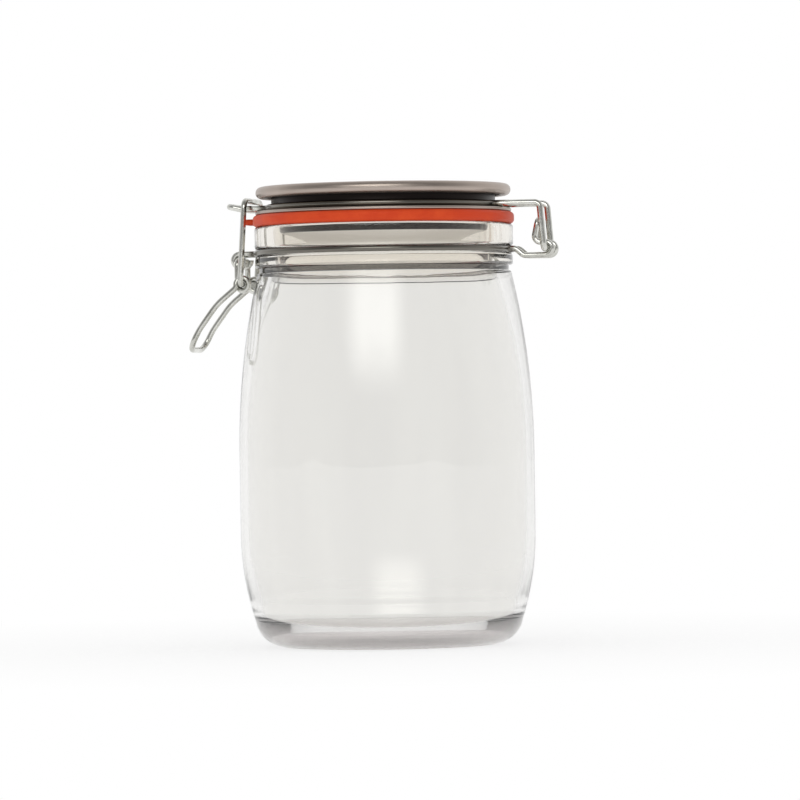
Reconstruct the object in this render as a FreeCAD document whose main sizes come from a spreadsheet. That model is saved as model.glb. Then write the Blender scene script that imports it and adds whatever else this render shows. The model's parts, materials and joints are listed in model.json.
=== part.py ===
"""One-litre clip-top storage jar: glass body, steel lid, rubber seal and bent-wire closure.

The origin is the middle of the base, on the jar's axis, with +Z up. The latch is at -X, the hinge
at +X, and every piece is mirrored about the plane y = 0. All sizes are millimetres.
"""
import FreeCAD, Part
import math
import os

import Sketcher
from FreeCAD import Vector

# Driving dimensions: alias, size, and what it is. Sizes "past the rim" are measured outwards from
# the outside of the glass rim, which the lid, the seal and the whole closure follow.
DIMENSIONS = [
    # Glass body
    ("base_radius", 39.0, "flat of the base"),
    ("heel_radius", 50.1, "outside, at the top of the heel curve"),
    ("heel_height", 9.3, "top of the heel curve"),
    ("belly_radius", 55.3, "outside, at the widest part"),
    ("belly_bottom", 42.0, "lower end of the straight belly"),
    ("belly_top", 73.0, "upper end of the straight belly"),
    ("shoulder_height", 139.6, "top of the shoulder"),
    ("glass_wall", 3.2, "wall of the belly"),
    ("heel_wall", 2.2, "inside of the heel, in from heel_radius"),
    ("glass_floor", 6.0, "thickness of the base"),
    ("floor_curve", 10.0, "inside curve between floor and wall"),
    # Glass neck
    ("rim_radius", 48.5, "outside of the rim"),
    ("rim_width", 7.0, "rim, between mouth and outside"),
    ("rim_height", 8.6, "rim above the neck wire"),
    ("rim_round", 1.4, "edges of the rim"),
    ("throat_rise", 2.0, "start of the straight mouth above the shoulder"),
    ("shoulder_inset", 0.9, "top of the shoulder, in from the rim"),
    ("root_groove_depth", 0.8, "groove under the bead, in from the shoulder"),
    ("root_groove_height", 2.0, "groove under the bead"),
    ("bead_inset", 0.2, "bead under the neck wire, in from the rim"),
    ("bead_height", 4.6, "bead under the neck wire"),
    ("bead_round", 1.2, "edges of the bead"),
    ("wire_groove_depth", 1.8, "groove of the neck wire, in from the rim"),
    # Seal
    ("seal_overhang", 0.5, "seal past the rim"),
    ("seal_thickness", 4.4, "seal between rim and lid"),
    ("seal_round", 0.8, "edges of the seal"),
    ("tab_length", 4.2, "pull tab, out from the seal"),
    ("tab_width", 11.0, "pull tab"),
    ("tab_thickness", 2.2, "pull tab"),
    ("tab_round", 2.5, "corners of the pull tab"),
    ("tab_root", 2.0, "pull tab inside the seal's edge"),
    # Lid
    ("sheet_thickness", 0.8, "lid sheet"),
    ("cap_inset", 0.7, "top disc, in from the rim"),
    ("cap_height", 4.3, "rolled edge of the top disc"),
    ("cap_roll_width", 3.8, "rolled edge of the top disc, across"),
    ("cap_gap", 4.8, "space for the lid wire under the top disc"),
    ("flange_inset", 0.5, "flange over the seal, in from the rim"),
    ("flange_thickness", 1.4, "hemmed flange over the seal"),
    ("plug_clearance", 2.5, "between mouth and plug, so that the lid swings out"),
    ("plug_depth", 7.4, "plug below the flange"),
    ("plug_round", 1.0, "lower edge of the plug"),
    ("recess_step", 3.0, "wall behind the lid wire, out from the plug"),
    ("seat_clearance", 0.1, "between pieces that sit in or against each other"),
    # Wires
    ("lid_wire_size", 2.4, "wire of the lid, across"),
    ("neck_wire_size", 2.2, "wire of the neck collar, across"),
    ("lever_wire_size", 2.2, "wire of the lever, across"),
    ("bail_wire_size", 2.2, "wire of the bail, across"),
    ("running_clearance", 0.1, "radial, between a wire pin and its curl"),
    ("side_clearance", 0.4, "between wires that swing past each other"),
    ("tight_bend", 2.2, "centre-line radius of the small bends"),
    # Hinge at the rear
    ("hinge_out", 14.1, "hinge bar past the rim"),
    ("hinge_drop", 0.2, "hinge bar below the neck wire"),
    ("hinge_half_width", 7.0, "legs of the lid wire's hinge loop"),
    ("hinge_lean", 1.4, "hinge loop, from where it turns down to the hinge bar"),
    ("hinge_gap", 0.4, "between the lid wire's butted ends"),
    ("hook_half_width", 3.6, "legs of the neck wire's hook"),
    ("hook_length", 4.6, "hook over the hinge bar"),
    ("hook_dip_run", 3.0, "slope of the hook down to below the hinge bar"),
    ("hook_dip_out", 2.7, "start of that slope past the rim"),
    ("tongue_lean", 1.8, "upright tongue of the hook, outwards"),
    ("tongue_height", 8.4, "upright tongue above the hook"),
    # Latch at the front
    ("nose_half_width", 7.0, "legs of the lid wire's nose"),
    ("nose_out", 9.5, "tip of the nose past the rim"),
    ("nose_upturn", 4.8, "length of the nose that turns up"),
    ("nose_rise", 1.0, "tip of the nose above the lid wire"),
    ("pivot_out", 6.4, "lever's pivot bar past the rim"),
    ("curl_half_width", 4.0, "curls of the neck wire round the pivot bar"),
    ("curl_turn", 275.0, "degrees of each curl"),
    ("arm_half_width", 7.6, "arms of the lever"),
    ("arm_drop", 9.1, "bail pins below the lever's pivot bar"),
    ("coil_clearance", 0.1, "between the turns of the lever's coil"),
    ("handle_start", 1.2, "handle's first bend below the bail pins"),
    ("handle_knee_out", 7.6, "first soft bend of the handle, out from the arm"),
    ("handle_knee_drop", 7.4, "first soft bend of the handle, below the bail pins"),
    ("handle_bow_out", 14.6, "second soft bend of the handle, out from the arm"),
    ("handle_bow_drop", 16.8, "second soft bend of the handle, below the bail pins"),
    ("handle_tip_out", 18.4, "tip of the handle, out from the arm"),
    ("handle_tip_drop", 24.2, "tip of the handle, below the bail pins"),
    ("handle_soft_bend", 22.0, "centre-line radius of the soft bends"),
    ("handle_corner", 5.0, "centre-line radius at the handle's tip"),
    ("bail_out", 2.1, "cross-bar of the bail past the rim"),
    ("bail_gap", 0.7, "between the bail's cross-bar and the nose"),
    ("bail_corner", 3.0, "centre-line radius of the bail's upper bends"),
    ("bail_foot_bend", 1.6, "centre-line radius between a bail leg and its pin"),
    ("pin_overhang", 0.6, "bail pin past the lever's coil"),
]


class Size:
    """A length worked out from the sheet: its number, and the expression that gives it."""

    def __init__(self, number, text):
        self.number = number
        self.text = text

    def __add__(self, other):
        return Size(self.number + other.number, f"({self.text} + {other.text})")

    def __sub__(self, other):
        return Size(self.number - other.number, f"({self.text} - {other.text})")

    def __truediv__(self, divisor):
        return Size(self.number / divisor, f"({self.text} / {divisor})")

    def __neg__(self):
        return Size(-self.number, f"(-{self.text})")


ZERO = Size(0.0, "0")


class SizeSheet:
    """The spreadsheet of driving dimensions, read by alias."""

    def __init__(self, doc):
        self.sheet = doc.addObject("Spreadsheet::Sheet", "sizes")
        for row, (alias, size, meaning) in enumerate(DIMENSIONS, start=1):
            self.sheet.set(f"A{row}", meaning)
            self.sheet.set(f"B{row}", str(size))
            self.sheet.setAlias(f"B{row}", alias)
        doc.recompute()

    def __getattr__(self, alias):
        return Size(float(self.sheet.get(alias)), f"sizes.{alias}")


class Layout:
    """Levels, radii and pivots that more than one piece shares, from the driving dimensions."""

    def __init__(self, s):
        self.root_top = s.shoulder_height + s.root_groove_height
        self.bead_top = self.root_top + s.bead_height
        self.neck_level = self.bead_top + s.seat_clearance + s.neck_wire_size / 2
        self.rim_bottom = self.neck_level + s.neck_wire_size / 2 + s.seat_clearance
        self.rim_top = self.rim_bottom + s.rim_height
        self.mouth_radius = s.rim_radius - s.rim_width
        self.groove_radius = s.rim_radius - s.wire_groove_depth
        self.neck_ring_radius = self.groove_radius + s.seat_clearance + s.neck_wire_size / 2
        self.plug_radius = self.mouth_radius - s.plug_clearance
        self.recess_radius = self.plug_radius + s.recess_step
        self.flange_bottom = self.rim_top + s.seal_thickness
        self.flange_top = self.flange_bottom + s.flange_thickness
        self.cap_bottom = self.flange_top + s.cap_gap
        self.cap_top = self.cap_bottom + s.cap_height
        self.cap_underside = self.cap_top - s.sheet_thickness
        self.lid_wire_level = self.flange_top + s.seat_clearance + s.lid_wire_size / 2
        self.lid_ring_radius = self.recess_radius + s.seat_clearance + s.lid_wire_size / 2
        self.hinge_reach = s.rim_radius + s.hinge_out
        self.hinge_level = self.neck_level - s.hinge_drop
        self.curl_radius = s.lever_wire_size / 2 + s.running_clearance + s.neck_wire_size / 2
        self.pivot_reach = s.rim_radius + s.pivot_out
        self.pivot_level = self.neck_level - self.curl_radius
        self.coil_radius = s.bail_wire_size / 2 + s.running_clearance + s.lever_wire_size / 2
        self.pin_level = self.pivot_level - s.arm_drop
        self.handle_half_width = s.arm_half_width + s.lever_wire_size + s.coil_clearance


def origin_plane(body, role):
    return next(feature for feature in body.Origin.OriginFeatures if feature.Role == role)


def arc_centre(start, end, axis, level):
    """Centre of an arc between two points, where its x or its y is given."""
    chord = end - start
    middle = (start + end) * 0.5
    if axis == "x":
        return Vector(level, middle.y - (level - middle.x) * chord.x / chord.y, 0)
    return Vector(middle.x - (level - middle.y) * chord.y / chord.x, level, 0)


def bind_point(sketch, geometry, point, direction, size):
    """Hold a point of the sketch at a distance from its origin that follows the sheet."""
    index = sketch.addConstraint(Sketcher.Constraint(direction, -1, 1, geometry, point, size.number))
    sketch.setExpression(f"Constraints[{index}]", size.text)


def draw_outline(sketch, outline):
    """Draw a closed outline with every corner and every arc centre bound to the sheet.

    A step is (x, y) for a straight run to that point, or (x, y, axis, level) for an arc to it
    whose centre has that x or that y.
    """
    corners = [Vector(step[0].number, step[1].number, 0) for step in outline]
    count = len(outline)
    ends = []
    for index, step in enumerate(outline):
        start = corners[index - 1]
        end = corners[index]
        if len(step) == 2:
            sketch.addGeometry(Part.LineSegment(start, end), False)
            ends.append((1, 2))
            continue
        centre = arc_centre(start, end, step[2], step[3].number)
        circle = Part.Circle(centre, Vector(0, 0, 1), (start - centre).Length)
        if (start - centre).cross(end - centre).z > 0:
            arc = Part.ArcOfCircle(circle, circle.parameter(start), circle.parameter(end))
            ends.append((1, 2))
        else:
            arc = Part.ArcOfCircle(circle, circle.parameter(end), circle.parameter(start))
            ends.append((2, 1))
        sketch.addGeometry(arc, False)
    for index in range(count):
        previous = (index - 1) % count
        joint = Sketcher.Constraint("Coincident", previous, ends[previous][1], index, ends[index][0])
        sketch.addConstraint(joint)
    for index, step in enumerate(outline):
        bind_point(sketch, index, ends[index][1], "DistanceX", step[0])
        bind_point(sketch, index, ends[index][1], "DistanceY", step[1])
        if len(step) == 4:
            direction = "DistanceX" if step[2] == "x" else "DistanceY"
            bind_point(sketch, index, 3, direction, step[3])


def turned_body(doc, label, outline):
    """A solid of revolution about Z, from its outline in the XZ plane."""
    body = doc.addObject("PartDesign::Body", label)
    body.Label = label
    sketch = body.newObject("Sketcher::SketchObject", f"{label}_outline")
    sketch.AttachmentSupport = [(origin_plane(body, "XZ_Plane"), "")]
    sketch.MapMode = "FlatFace"
    draw_outline(sketch, outline)
    revolution = body.newObject("PartDesign::Revolution", f"{label}_turned")
    revolution.Profile = sketch
    revolution.ReferenceAxis = (sketch, ["V_Axis"])
    revolution.Angle = 360.0
    return body


def make_jar_body(doc, s, at):
    shoulder_radius = s.rim_radius - s.shoulder_inset
    root_radius = shoulder_radius - s.root_groove_depth
    bead_radius = s.rim_radius - s.bead_inset
    throat_level = s.shoulder_height + s.throat_rise
    belly_inside = s.belly_radius - s.glass_wall
    heel_inside = s.heel_radius - s.heel_wall
    floor_radius = heel_inside - s.floor_curve
    outside = [
        (ZERO, ZERO),
        (s.base_radius, ZERO),
        (s.heel_radius, s.heel_height, "x", s.base_radius),
        (s.belly_radius, s.belly_bottom, "y", s.belly_bottom),
        (s.belly_radius, s.belly_top),
        (shoulder_radius, s.shoulder_height, "y", s.belly_top),
        (root_radius, s.shoulder_height),
        (root_radius, at.root_top),
        (bead_radius - s.bead_round, at.root_top),
        (bead_radius, at.root_top + s.bead_round, "x", bead_radius - s.bead_round),
        (bead_radius, at.bead_top - s.bead_round),
        (bead_radius - s.bead_round, at.bead_top, "y", at.bead_top - s.bead_round),
        (at.groove_radius, at.bead_top),
        (at.groove_radius, at.rim_bottom),
        (s.rim_radius - s.rim_round, at.rim_bottom),
        (s.rim_radius, at.rim_bottom + s.rim_round, "x", s.rim_radius - s.rim_round),
        (s.rim_radius, at.rim_top - s.rim_round),
        (s.rim_radius - s.rim_round, at.rim_top, "y", at.rim_top - s.rim_round),
    ]
    inside = [
        (at.mouth_radius + s.rim_round, at.rim_top),
        (at.mouth_radius, at.rim_top - s.rim_round, "x", at.mouth_radius + s.rim_round),
        (at.mouth_radius, throat_level),
        (belly_inside, s.belly_top, "y", s.belly_top),
        (belly_inside, s.belly_bottom),
        (heel_inside, s.glass_floor + s.floor_curve, "y", s.belly_bottom),
        (floor_radius, s.glass_floor, "x", floor_radius),
        (ZERO, s.glass_floor),
    ]
    return turned_body(doc, "jar_body", outside + inside)


def make_seal_ring(doc, s, at):
    bottom = at.rim_top
    top = at.flange_bottom
    outer = s.rim_radius + s.seal_overhang
    inner = at.plug_radius + s.seat_clearance
    body = turned_body(doc, "seal_ring", [
        (inner, bottom),
        (outer - s.seal_round, bottom),
        (outer, bottom + s.seal_round, "x", outer - s.seal_round),
        (outer, top - s.seal_round),
        (outer - s.seal_round, top, "y", top - s.seal_round),
        (inner, top),
    ])
    root = -(outer - s.tab_root)
    tip = -(outer + s.tab_length)
    half_width = s.tab_width / 2
    sketch = body.newObject("Sketcher::SketchObject", "seal_tab_outline")
    sketch.AttachmentSupport = [(origin_plane(body, "XY_Plane"), "")]
    sketch.MapMode = "FlatFace"
    tab_bottom = bottom + (s.seal_thickness - s.tab_thickness) / 2
    sketch.setExpression("AttachmentOffset.Base.z", tab_bottom.text)
    draw_outline(sketch, [
        (root, -half_width),
        (root, half_width),
        (tip + s.tab_round, half_width),
        (tip, half_width - s.tab_round, "x", tip + s.tab_round),
        (tip, s.tab_round - half_width),
        (tip + s.tab_round, -half_width, "y", s.tab_round - half_width),
    ])
    tab = body.newObject("PartDesign::Pad", "seal_tab")
    tab.Profile = sketch
    tab.setExpression("Length", s.tab_thickness.text)
    return body


def make_lid_cap(doc, s, at):
    radius = s.rim_radius - s.cap_inset
    roll = s.cap_height / 2
    roll_inside = radius - s.cap_roll_width
    return turned_body(doc, "lid_cap", [
        (ZERO, at.cap_underside),
        (roll_inside, at.cap_underside),
        (roll_inside, at.cap_bottom),
        (radius - roll, at.cap_bottom),
        (radius, at.cap_bottom + roll, "x", radius - roll),
        (radius - roll, at.cap_top, "y", at.cap_bottom + roll),
        (ZERO, at.cap_top),
    ])


def make_lid_pan(doc, s, at):
    plug_bottom = at.flange_bottom - s.plug_depth
    plug_flat = at.plug_radius - s.plug_round
    flange_radius = s.rim_radius - s.flange_inset
    hem = s.flange_thickness / 2
    return turned_body(doc, "lid_pan", [
        (ZERO, plug_bottom),
        (plug_flat, plug_bottom),
        (at.plug_radius, plug_bottom + s.plug_round, "x", plug_flat),
        (at.plug_radius, at.flange_bottom),
        (flange_radius - hem, at.flange_bottom),
        (flange_radius, at.flange_bottom + hem, "x", flange_radius - hem),
        (flange_radius - hem, at.flange_top, "y", at.flange_bottom + hem),
        (at.recess_radius, at.flange_top),
        (at.recess_radius, at.cap_underside),
        (at.recess_radius - s.sheet_thickness, at.cap_underside),
        (at.recess_radius - s.sheet_thickness, at.flange_bottom + s.sheet_thickness),
        (at.plug_radius - s.sheet_thickness, at.flange_bottom + s.sheet_thickness),
        (at.plug_radius - s.sheet_thickness, plug_bottom + s.plug_round),
        (plug_flat, plug_bottom + s.sheet_thickness, "x", plug_flat),
        (ZERO, plug_bottom + s.sheet_thickness),
    ])


def bent_run(points, bends):
    """Edges of straight runs through the points, with an arc of the given radius at each corner."""
    edges = []
    start = points[0]
    for before, corner, after, radius in zip(points, points[1:], points[2:], bends):
        into = (corner - before).normalize()
        away = (after - corner).normalize()
        half_turn = into.getAngle(away) / 2
        inward = (away - into).normalize()
        arc_start = corner - into * (radius * math.tan(half_turn))
        arc_middle = corner + inward * (radius / math.cos(half_turn) - radius)
        arc_end = corner + away * (radius * math.tan(half_turn))
        edges.append(Part.LineSegment(start, arc_start).toShape())
        edges.append(Part.Arc(arc_start, arc_middle, arc_end).toShape())
        start = arc_end
    edges.append(Part.LineSegment(start, points[-1]).toShape())
    return edges


def ring_entry(ring_radius, leg_half_width, bend):
    """Centre (x, y) of the bend that joins a leg beside the X axis to a ring about Z."""
    centre_y = leg_half_width + bend
    return math.sqrt((ring_radius + bend) ** 2 - centre_y ** 2), centre_y


def ring_side(ring_radius, level, front_half_width, rear_half_width, bend):
    """Edges from a front leg (-X) round the +Y side of a ring to a rear leg (+X)."""
    front_x, front_y = ring_entry(ring_radius, front_half_width, bend)
    rear_x, rear_y = ring_entry(ring_radius, rear_half_width, bend)
    share = ring_radius / (ring_radius + bend)
    front_on_ring = Vector(-front_x * share, front_y * share, level)
    rear_on_ring = Vector(rear_x * share, rear_y * share, level)
    corners = []
    for x, y, leg, on_ring in [
        (-front_x, front_y, front_half_width, front_on_ring),
        (rear_x, rear_y, rear_half_width, rear_on_ring),
    ]:
        centre = Vector(x, y, level)
        leg_end = Vector(x, leg, level)
        towards = ((leg_end - centre).normalize() + (on_ring - centre).normalize()).normalize()
        corners.append(Part.Arc(leg_end, centre + towards * bend, on_ring).toShape())
    side = Part.Arc(front_on_ring, Vector(0, ring_radius, level), rear_on_ring).toShape()
    return [corners[0], side, corners[1]]


def mirrored_wire(doc, label, edges, diameter):
    """A round wire along the edges, which start on y = 0, joined to its mirror image."""
    start = edges[0].valueAt(edges[0].FirstParameter)
    section = Part.Wire([Part.Circle(start, Vector(0, 1, 0), diameter / 2).toShape()])
    path = Part.Wire(Part.__sortEdges__(edges))
    half = path.makePipeShell([section], True, False)
    expected = math.pi * (diameter / 2) ** 2 * path.Length
    if abs(half.Volume - expected) > 0.01 * expected:
        raise ValueError(f"{label}: the wire's volume does not match its length")
    piece = doc.addObject("Part::Feature", label)
    piece.Label = label
    piece.Shape = half.fuse(half.mirror(Vector(0, 0, 0), Vector(0, 1, 0))).removeSplitter()
    piece.Placement = FreeCAD.Placement()
    return piece


def make_lid_wire(doc, s, at):
    """Ring under the top disc, with the nose that the bail hooks over and the hinge loop behind."""
    bend = s.tight_bend.number
    ring = at.lid_ring_radius.number
    level = at.lid_wire_level.number
    nose = s.nose_half_width.number
    tip_x = -(s.rim_radius + s.nose_out).number
    tip_level = level + s.nose_rise.number
    leg = s.hinge_half_width.number
    hinge_x = at.hinge_reach.number
    hinge_level = at.hinge_level.number
    nose_x, _ = ring_entry(ring, nose, bend)
    leg_x, _ = ring_entry(ring, leg, bend)
    front = bent_run([
        Vector(tip_x, 0, tip_level),
        Vector(tip_x, nose, tip_level),
        Vector(tip_x + s.nose_upturn.number, nose, level),
        Vector(-nose_x, nose, level),
    ], [bend, bend])
    rear = bent_run([
        Vector(leg_x, leg, level),
        Vector(hinge_x - s.hinge_lean.number, leg, level),
        Vector(hinge_x, leg, hinge_level),
        Vector(hinge_x, s.hinge_gap.number / 2, hinge_level),
    ], [bend, bend])
    edges = front + ring_side(ring, level, nose, leg, bend) + rear
    return mirrored_wire(doc, "lid_wire", edges, s.lid_wire_size.number)


def make_neck_wire(doc, s, at):
    """Collar in the neck's groove, with hooks round the hinge bar and curls round the lever's pivot."""
    bend = s.tight_bend.number
    ring = at.neck_ring_radius.number
    level = at.neck_level.number
    hook = s.hook_half_width.number
    curl = s.curl_half_width.number
    hinge = Vector(at.hinge_reach.number, hook, at.hinge_level.number)
    wrap = (s.lid_wire_size / 2 + s.running_clearance + s.neck_wire_size / 2).number
    over = hinge + Vector(0, 0, wrap)
    under = hinge - Vector(0, 0, wrap)
    heel = over - Vector(s.hook_length.number, 0, 0)
    tongue = heel + Vector(s.tongue_lean.number, 0, s.tongue_height.number)
    dip_x = (s.rim_radius + s.hook_dip_out).number
    hook_x, _ = ring_entry(ring, hook, bend)
    curl_x, _ = ring_entry(ring, curl, bend)
    rear = bent_run([Vector(tongue.x, 0, tongue.z), tongue, heel, over], [bend, bend])
    rear.append(Part.Arc(over, hinge + Vector(wrap, 0, 0), under).toShape())
    rear += bent_run([
        under,
        Vector(dip_x + s.hook_dip_run.number, hook, under.z),
        Vector(dip_x, hook, level),
        Vector(hook_x, hook, level),
    ], [bend, bend])
    pivot = Vector(-at.pivot_reach.number, curl, at.pivot_level.number)
    curl_radius = at.curl_radius.number

    def on_curl(share):
        turn = math.radians(s.curl_turn.number * share)
        return pivot + Vector(-math.sin(turn), 0, math.cos(turn)) * curl_radius

    front = [
        Part.LineSegment(Vector(-curl_x, curl, level), on_curl(0.0)).toShape(),
        Part.Arc(on_curl(0.0), on_curl(0.5), on_curl(1.0)).toShape(),
    ]
    edges = rear + ring_side(ring, level, curl, hook, bend)[::-1] + front
    return mirrored_wire(doc, "neck_wire", edges, s.neck_wire_size.number)


def make_lever(doc, s, at):
    """Latch lever: pivot bar, two arms, a one-turn coil in each for the bail pins, and the handle."""
    bend = s.tight_bend.number
    soft = s.handle_soft_bend.number
    arm_x = -at.pivot_reach.number
    arm = s.arm_half_width.number
    handle = at.handle_half_width.number
    pin_level = at.pin_level.number
    coil = at.coil_radius.number
    half_shift = (handle - arm) / 2
    rise = math.hypot(coil, half_shift / 2)
    arm_end = Vector(arm_x, arm, pin_level)
    edges = bent_run([
        Vector(arm_x, 0, at.pivot_level.number),
        Vector(arm_x, arm, at.pivot_level.number),
        arm_end,
    ], [bend])
    far_side = arm_end + Vector(2 * coil, half_shift, 0)
    handle_top = Vector(arm_x, handle, pin_level)
    edges.append(Part.Arc(arm_end, arm_end + Vector(coil, half_shift / 2, -rise), far_side).toShape())
    edges.append(Part.Arc(far_side, handle_top + Vector(coil, -half_shift / 2, rise), handle_top).toShape())
    tip = handle_top - Vector(s.handle_tip_out.number, 0, s.handle_tip_drop.number)
    edges += bent_run([
        handle_top,
        handle_top - Vector(0, 0, s.handle_start.number),
        handle_top - Vector(s.handle_knee_out.number, 0, s.handle_knee_drop.number),
        handle_top - Vector(s.handle_bow_out.number, 0, s.handle_bow_drop.number),
        tip,
        Vector(tip.x, 0, tip.z),
    ], [bend, soft, soft, s.handle_corner.number])
    return mirrored_wire(doc, "lever", edges, s.lever_wire_size.number)


def make_bail(doc, s, at):
    """Wire loop over the nose, with its ends turned in as pins through the lever's coils."""
    half_width = (
        at.handle_half_width + s.lever_wire_size / 2 + s.side_clearance + s.bail_wire_size / 2
    ).number
    bar_x = -(s.rim_radius + s.bail_out).number
    bar_level = (at.lid_wire_level + s.lid_wire_size / 2 + s.bail_gap + s.bail_wire_size / 2).number
    pin_x = at.coil_radius.number - at.pivot_reach.number
    pin_level = at.pin_level.number
    pin_end = (s.arm_half_width - s.lever_wire_size / 2 - s.pin_overhang).number
    edges = bent_run([
        Vector(bar_x, 0, bar_level),
        Vector(bar_x, half_width, bar_level),
        Vector(pin_x, half_width, pin_level),
        Vector(pin_x, pin_end, pin_level),
    ], [s.bail_corner.number, s.bail_foot_bend.number])
    return mirrored_wire(doc, "bail", edges, s.bail_wire_size.number)


def main():
    doc = FreeCAD.newDocument("clip_top_jar")
    sizes = SizeSheet(doc)
    layout = Layout(sizes)
    makers = [
        make_jar_body, make_seal_ring, make_lid_cap, make_lid_pan,
        make_lid_wire, make_neck_wire, make_lever, make_bail,
    ]
    pieces = [make(doc, sizes, layout) for make in makers]
    doc.recompute()
    for item in doc.Objects:
        if "Invalid" in item.State or "Error" in item.State:
            raise ValueError(f"{item.Label} did not compute: {item.State}")
    for piece in pieces:
        if piece.Shape.isNull() or not piece.Shape.isValid() or len(piece.Shape.Solids) != 1:
            raise ValueError(f"{piece.Label} is not one valid solid")
    os.makedirs("parts", exist_ok=True)
    for piece in pieces:
        piece.Shape.exportStep(f"parts/{piece.Label}.step")
        print(f"{piece.Label}: {piece.Shape.Volume:.0f} cubic millimetres")


main()
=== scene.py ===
"""Looks of the clip-top storage jar: clear glass, brushed steel lid, orange seal and bright wire closure."""

import json
import math

import bpy
from bpy.props import FloatProperty, FloatVectorProperty, IntProperty, PointerProperty
from bpy.types import Operator, Panel, PropertyGroup
from mathutils import Matrix, Vector


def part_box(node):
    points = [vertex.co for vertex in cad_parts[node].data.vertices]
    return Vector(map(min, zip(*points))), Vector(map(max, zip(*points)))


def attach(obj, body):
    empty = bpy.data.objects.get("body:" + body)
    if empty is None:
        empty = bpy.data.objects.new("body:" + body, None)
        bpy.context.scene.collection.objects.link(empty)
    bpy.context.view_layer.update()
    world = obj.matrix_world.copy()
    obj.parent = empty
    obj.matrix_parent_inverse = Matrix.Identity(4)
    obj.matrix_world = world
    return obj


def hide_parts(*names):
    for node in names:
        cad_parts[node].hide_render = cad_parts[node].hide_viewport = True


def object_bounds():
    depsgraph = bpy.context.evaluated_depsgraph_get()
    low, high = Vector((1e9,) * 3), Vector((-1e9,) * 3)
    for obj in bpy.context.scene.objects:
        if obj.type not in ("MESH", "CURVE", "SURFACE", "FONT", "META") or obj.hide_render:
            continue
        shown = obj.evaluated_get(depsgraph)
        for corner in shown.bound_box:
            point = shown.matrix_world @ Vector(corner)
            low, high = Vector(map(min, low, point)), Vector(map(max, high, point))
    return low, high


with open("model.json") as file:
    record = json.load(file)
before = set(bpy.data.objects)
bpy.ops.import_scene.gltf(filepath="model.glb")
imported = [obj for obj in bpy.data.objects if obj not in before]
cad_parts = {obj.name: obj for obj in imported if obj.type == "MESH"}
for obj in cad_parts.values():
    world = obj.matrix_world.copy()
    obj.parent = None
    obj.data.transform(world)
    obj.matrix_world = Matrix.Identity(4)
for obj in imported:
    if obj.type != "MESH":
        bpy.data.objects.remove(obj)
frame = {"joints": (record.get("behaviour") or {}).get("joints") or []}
CAD_BOX = [list(corner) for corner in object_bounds()]

bl_info = {
    "name": "Clip-top Jar",
    "version": (1, 0, 0),
    "blender": (4, 5, 0),
    "location": "3D View > Sidebar > Jar",
    "description": "Models the glass, lid, seal and wire closure of a clip-top storage jar",
    "category": "Object",
}

UP = Vector((0, 0, 1))
FRONT = Vector((0, -1, 0))
JOINTS = {joint["name"]: Vector(joint["pos_m"]) for joint in frame["joints"]}
HINGE = JOINTS["lid_hinge"]
PIVOT = JOINTS["lever_pivot"]
PIN = JOINTS["bail_pivot"]


def length(name, description, default):
    return FloatProperty(name=name, description=description, default=default, unit="LENGTH", precision=5)


def angle(name, description, degrees):
    return FloatProperty(name=name, description=description, default=math.radians(degrees), subtype="ANGLE")


def colour(name, description, default):
    return FloatVectorProperty(
        name=name, description=description, default=default, subtype="COLOR", size=3, min=0.0, max=1.0,
    )


class GlassSizes(PropertyGroup):
    base_radius: length("Base", "Flat of the base", 0.0390)
    heel_radius: length("Heel", "Outside at the top of the heel curve", 0.0501)
    heel_height: length("Heel height", "Top of the heel curve", 0.0093)
    belly_radius: length("Belly", "Outside at the widest part", 0.0553)
    belly_bottom: length("Belly bottom", "Lower end of the straight belly", 0.0420)
    belly_top: length("Belly top", "Upper end of the straight belly", 0.0730)
    shoulder_height: length("Shoulder height", "Top of the shoulder", 0.1396)
    shoulder_radius: length("Shoulder", "Outside at the top of the shoulder", 0.0476)
    wall: length("Wall", "Wall of the belly", 0.0032)
    heel_wall: length("Heel wall", "Inside of the heel, in from its outside", 0.0022)
    floor: length("Floor", "Thickness of the base", 0.0060)
    floor_curve: length("Floor curve", "Inside curve between floor and wall", 0.0100)
    throat_rise: length("Throat", "Start of the straight mouth above the shoulder", 0.0020)
    root_depth: length("Root groove", "Depth of the groove under the bead", 0.0008)
    root_height: length("Root groove height", "Height of the groove under the bead", 0.0020)
    bead_radius: length("Bead", "Outside of the bead", 0.0483)
    bead_height: length("Bead height", "Height of the bead", 0.0046)
    groove_radius: length("Wire groove", "Bottom of the neck wire's groove", 0.0467)
    groove_height: length("Wire groove height", "Height of the neck wire's groove", 0.0024)
    rim_radius: length("Rim", "Outside of the rim", 0.0485)
    mouth_radius: length("Mouth", "Clear mouth", 0.0415)
    edge: length("Rim edge", "Rounding of the rim", 0.0013)
    bead_edge: length("Bead edge", "Rounding of the bead", 0.0011)
    fire_polish: length("Small edge", "Rounding of the small glass steps", 0.00035)
    segments: IntProperty(name="Segments", description="Steps around the jar", default=160, min=32)


class LidSizes(PropertyGroup):
    sheet: length("Sheet", "Thickness of the lid sheet", 0.0008)
    roll_width: length("Roll", "Rolled edge of the top disc, across", 0.0038)
    recess_radius: length("Recess", "Wall behind the lid wire", 0.0420)
    flange_radius: length("Flange", "Flange over the seal", 0.0480)
    flange_thickness: length("Flange thickness", "Hemmed flange over the seal", 0.0014)
    plug_radius: length("Plug", "Plug inside the mouth", 0.0390)
    plug_edge: length("Plug edge", "Lower edge of the plug", 0.0010)
    seal_edge: length("Seal edge", "Rounding of the seal", 0.0016)
    seal_inside: length("Seal inside", "Inside radius of the seal", 0.0391)
    tab_width: length("Tab width", "Pull tab of the seal", 0.0110)
    tab_thickness: length("Tab thickness", "Pull tab of the seal", 0.0022)
    tab_corner: length("Tab corner", "Corners of the pull tab", 0.0025)


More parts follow.
